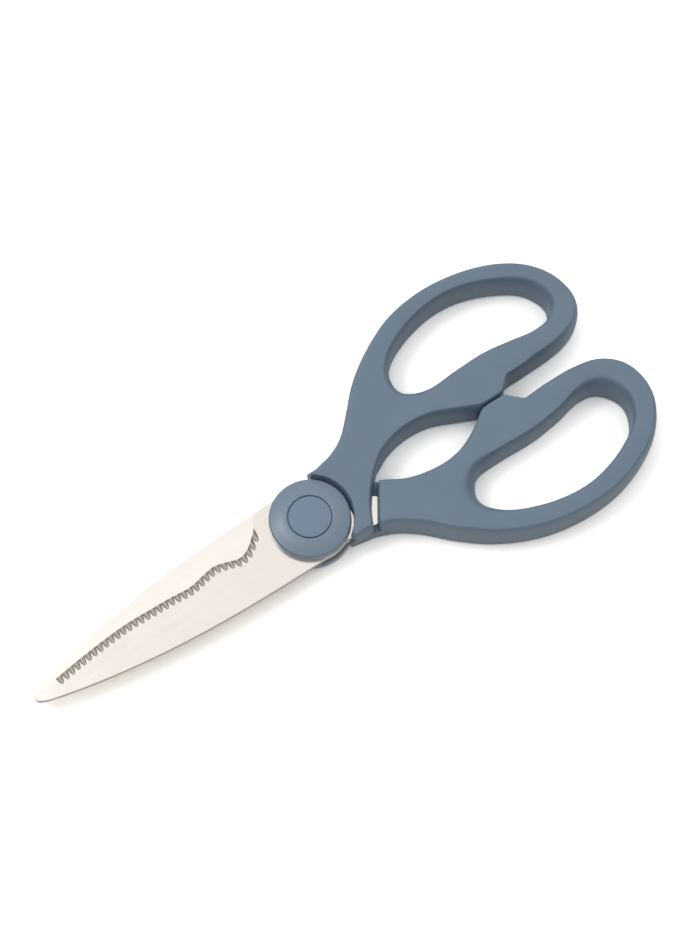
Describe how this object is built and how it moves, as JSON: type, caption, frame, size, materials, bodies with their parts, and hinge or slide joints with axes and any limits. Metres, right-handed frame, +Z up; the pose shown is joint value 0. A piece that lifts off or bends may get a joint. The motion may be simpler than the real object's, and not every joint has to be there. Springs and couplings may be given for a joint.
{
  "type": "kitchen scissors",
  "caption": "Closed kitchen scissors with moulded finger-loop handles, a toothed front blade, a plain rear blade and a capped pivot hub. Opens about the pivot.",
  "frame": {"origin": "on the pivot axis, in the plane that the scissors rest on", "axes": "+X from the pivot to the handles along the closed blades, +Y to the upper handle, +Z up out of the rest plane along the pivot"},
  "size_m": [0.2128, 0.09, 0.0128],
  "materials": {
    "blade_steel": "fine brushed stainless",
    "handle_plastic": "fine matte moulding, slate blue",
    "hub_plastic": "satin moulding, slate blue",
    "cap_plastic": "satin moulding, slate blue",
    "pivot_steel": "turned steel"
  },
  "bodies": {
    "lower_half": {"rear_blade": "blade_steel", "lower_handle": "handle_plastic", "rear_hub_disc": "hub_plastic", "rear_hub_cap": "cap_plastic", "pivot_screw": "pivot_steel", "pivot_nut": "pivot_steel", "head_washer": "pivot_steel", "spring_washer": "pivot_steel"},
    "upper_half": {"front_blade": "blade_steel", "upper_handle": "handle_plastic", "front_hub_disc": "hub_plastic", "front_hub_cap": "cap_plastic"}
  },
  "joints": [
    {"name": "pivot", "type": "hinge", "parent": "lower_half", "child": "upper_half", "pos_m": [0, 0, 0.0064], "axis": [0, 0, 1], "range_deg": [0, 90]}
  ]
}
